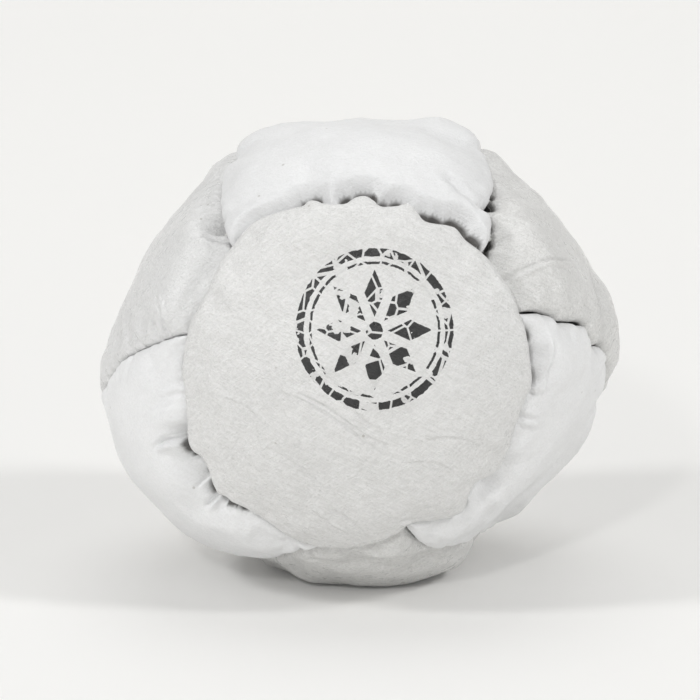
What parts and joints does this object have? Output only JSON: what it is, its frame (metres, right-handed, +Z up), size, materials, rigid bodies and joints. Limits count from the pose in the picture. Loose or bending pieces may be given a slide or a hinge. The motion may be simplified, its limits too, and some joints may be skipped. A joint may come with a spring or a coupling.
{
  "type": "footbag",
  "caption": "Round kick bag of hand-sewn white leather panels, filled with pellets and slumped on a flat resting patch.",
  "frame": {"origin": "middle of the flat patch that the bag rests on", "axes": "+Z up, -Y out of the front panel, +X to the right as the front panel is seen"},
  "size_m": [0.052, 0.0485, 0.0455],
  "materials": {
    "warm_leather": "semi-gloss white garment leather, faintly warm",
    "cool_leather": "soft satin white leather, faintly cool",
    "thread": "matte bonded thread",
    "pellets": "translucent plastic granules"
  },
  "bodies": {
    "root": {"panel_front": "warm_leather", "panel_upper_right": "warm_leather", "panel_upper_left": "warm_leather", "panel_underside": "warm_leather", "panel_top": "cool_leather", "panel_lower_right": "cool_leather", "panel_lower_left": "cool_leather", "panel_back": "cool_leather", "pellet_fill": "pellets", "thread_front_top": "thread", "thread_front_left": "thread", "thread_front_right": "thread", "thread_right_top": "thread", "thread_right_side": "thread", "thread_right_back": "thread", "thread_left_top": "thread", "thread_left_side": "thread", "thread_left_back": "thread", "thread_under_right": "thread", "thread_under_left": "thread", "thread_under_back": "thread", "thread_short_front_right": "thread", "thread_short_front_left": "thread", "thread_short_front_under": "thread", "thread_short_rear_top": "thread", "thread_short_rear_right": "thread", "thread_short_rear_left": "thread"}
  },
  "joints": []
}
